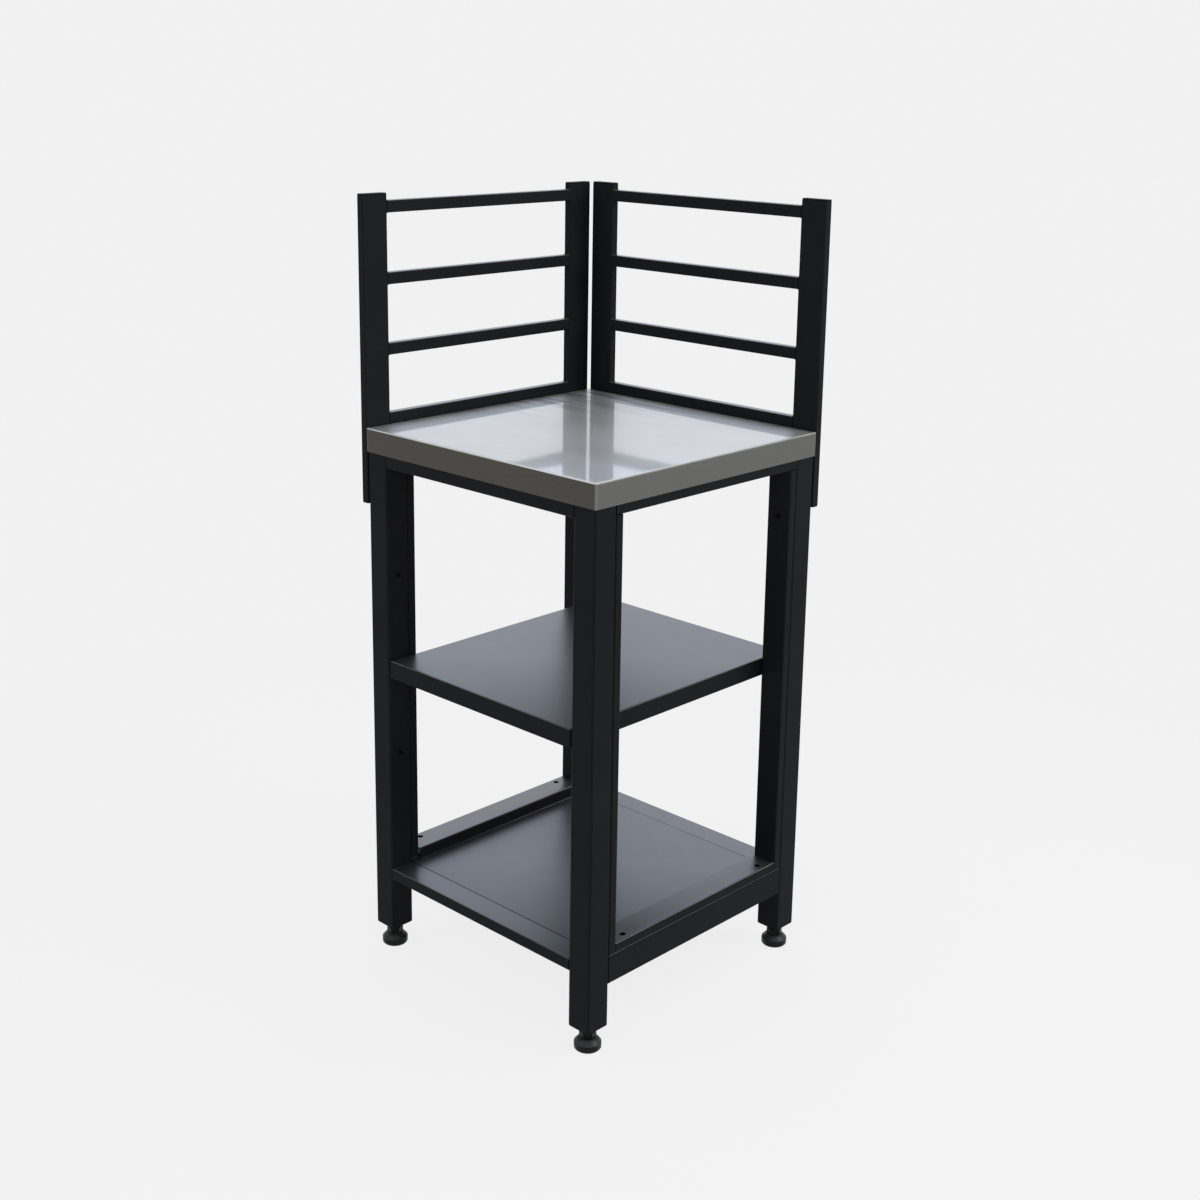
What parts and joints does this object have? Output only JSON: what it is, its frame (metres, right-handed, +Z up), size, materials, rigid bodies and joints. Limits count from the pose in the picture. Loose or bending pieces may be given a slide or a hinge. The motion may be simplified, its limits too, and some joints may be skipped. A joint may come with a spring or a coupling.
{
  "type": "outdoor kitchen module",
  "caption": "Open-frame outdoor kitchen corner module: square-tube legs, folded stainless worktop, storage shelf and tray, barred guards on two sides and levelling feet.",
  "frame": {"origin": "on the floor, in the middle of the footprint, guards and their bolt heads included", "axes": "+Z up; +X to the right side, away from the side guard; +Y to the back, towards the back guard; -Y is the front"},
  "size_m": [0.544, 0.544, 1.3065],
  "materials": {
    "powder_coat": "fine-textured satin powder coat, near-black with a blue cast",
    "sheet_coat": "smoother satin powder coat on sheet steel",
    "stainless": "finely ground stainless sheet, half mirror",
    "core_board": "sealed birch ply core",
    "zinc": "bright zinc plating",
    "black_zinc": "black passivated zinc plating",
    "foot_plastic": "black moulded nylon with a slight gloss",
    "trim_plastic": "black matt moulded plastic"
  },
  "bodies": {
    "frame": {"leg_front_left": "powder_coat", "leg_front_right": "powder_coat", "leg_back_right": "powder_coat", "leg_back_left": "powder_coat", "post_front_left": "powder_coat", "post_front_right": "powder_coat", "post_back_right": "powder_coat", "post_back_left": "powder_coat", "lower_rail_left": "powder_coat", "lower_rail_right": "powder_coat", "lower_cross_front": "powder_coat", "lower_cross_back": "powder_coat", "upper_rail_front": "powder_coat", "upper_rail_back": "powder_coat", "upper_rail_left": "powder_coat", "upper_rail_right": "powder_coat", "worktop_sheet": "stainless", "worktop_board": "core_board", "middle_shelf": "sheet_coat", "bottom_tray": "sheet_coat", "side_upright_front": "powder_coat", "side_upright_back": "powder_coat", "back_upright_left": "powder_coat", "back_upright_right": "powder_coat", "side_bar_1": "powder_coat", "side_bar_2": "powder_coat", "side_bar_3": "powder_coat", "side_bar_4": "powder_coat", "back_bar_1": "powder_coat", "back_bar_2": "powder_coat", "back_bar_3": "powder_coat", "back_bar_4": "powder_coat", "side_guard_caps": "trim_plastic", "back_guard_caps": "trim_plastic", "guard_bolts": "zinc", "guard_washers": "zinc", "guard_inserts": "black_zinc", "shelf_bolts": "zinc", "shelf_washers": "zinc", "shelf_inserts": "black_zinc", "post_inserts": "black_zinc", "plug_front_left": "trim_plastic", "plug_front_right": "trim_plastic", "plug_back_right": "trim_plastic", "plug_back_left": "trim_plastic"},
    "base_front_left": {"foot_front_left": "foot_plastic"},
    "screw_front_left": {"stud_front_left": "black_zinc"},
    "base_front_right": {"foot_front_right": "foot_plastic"},
    "screw_front_right": {"stud_front_right": "black_zinc"},
    "base_back_right": {"foot_back_right": "foot_plastic"},
    "screw_back_right": {"stud_back_right": "black_zinc"},
    "base_back_left": {"foot_back_left": "foot_plastic"},
    "screw_back_left": {"stud_back_left": "black_zinc"}
  },
  "joints": [
    {"name": "level_front_left", "type": "slide", "parent": "frame", "child": "base_front_left", "axis": [0, 0, -1], "range_m": [-0.006, 0.025]},
    {"name": "turn_front_left", "type": "hinge", "parent": "base_front_left", "child": "screw_front_left", "pos_m": [-0.2273, -0.2477, 0.0193], "axis": [0, 0, -1], "continuous": true},
    {"name": "level_front_right", "type": "slide", "parent": "frame", "child": "base_front_right", "axis": [0, 0, -1], "range_m": [-0.006, 0.025]},
    {"name": "turn_front_right", "type": "hinge", "parent": "base_front_right", "child": "screw_front_right", "pos_m": [0.2477, -0.2477, 0.0193], "axis": [0, 0, -1], "continuous": true},
    {"name": "level_back_right", "type": "slide", "parent": "frame", "child": "base_back_right", "axis": [0, 0, -1], "range_m": [-0.006, 0.025]},
    {"name": "turn_back_right", "type": "hinge", "parent": "base_back_right", "child": "screw_back_right", "pos_m": [0.2477, 0.2273, 0.0193], "axis": [0, 0, -1], "continuous": true},
    {"name": "level_back_left", "type": "slide", "parent": "frame", "child": "base_back_left", "axis": [0, 0, -1], "range_m": [-0.006, 0.025]},
    {"name": "turn_back_left", "type": "hinge", "parent": "base_back_left", "child": "screw_back_left", "pos_m": [-0.2273, 0.2273, 0.0193], "axis": [0, 0, -1], "continuous": true}
  ],
  "couplings": [
    {"joint": "turn_front_left", "follows": "level_front_left", "rad_per_m": 3141.6},
    {"joint": "turn_front_right", "follows": "level_front_right", "rad_per_m": 3141.6},
    {"joint": "turn_back_right", "follows": "level_back_right", "rad_per_m": 3141.6},
    {"joint": "turn_back_left", "follows": "level_back_left", "rad_per_m": 3141.6}
  ]
}
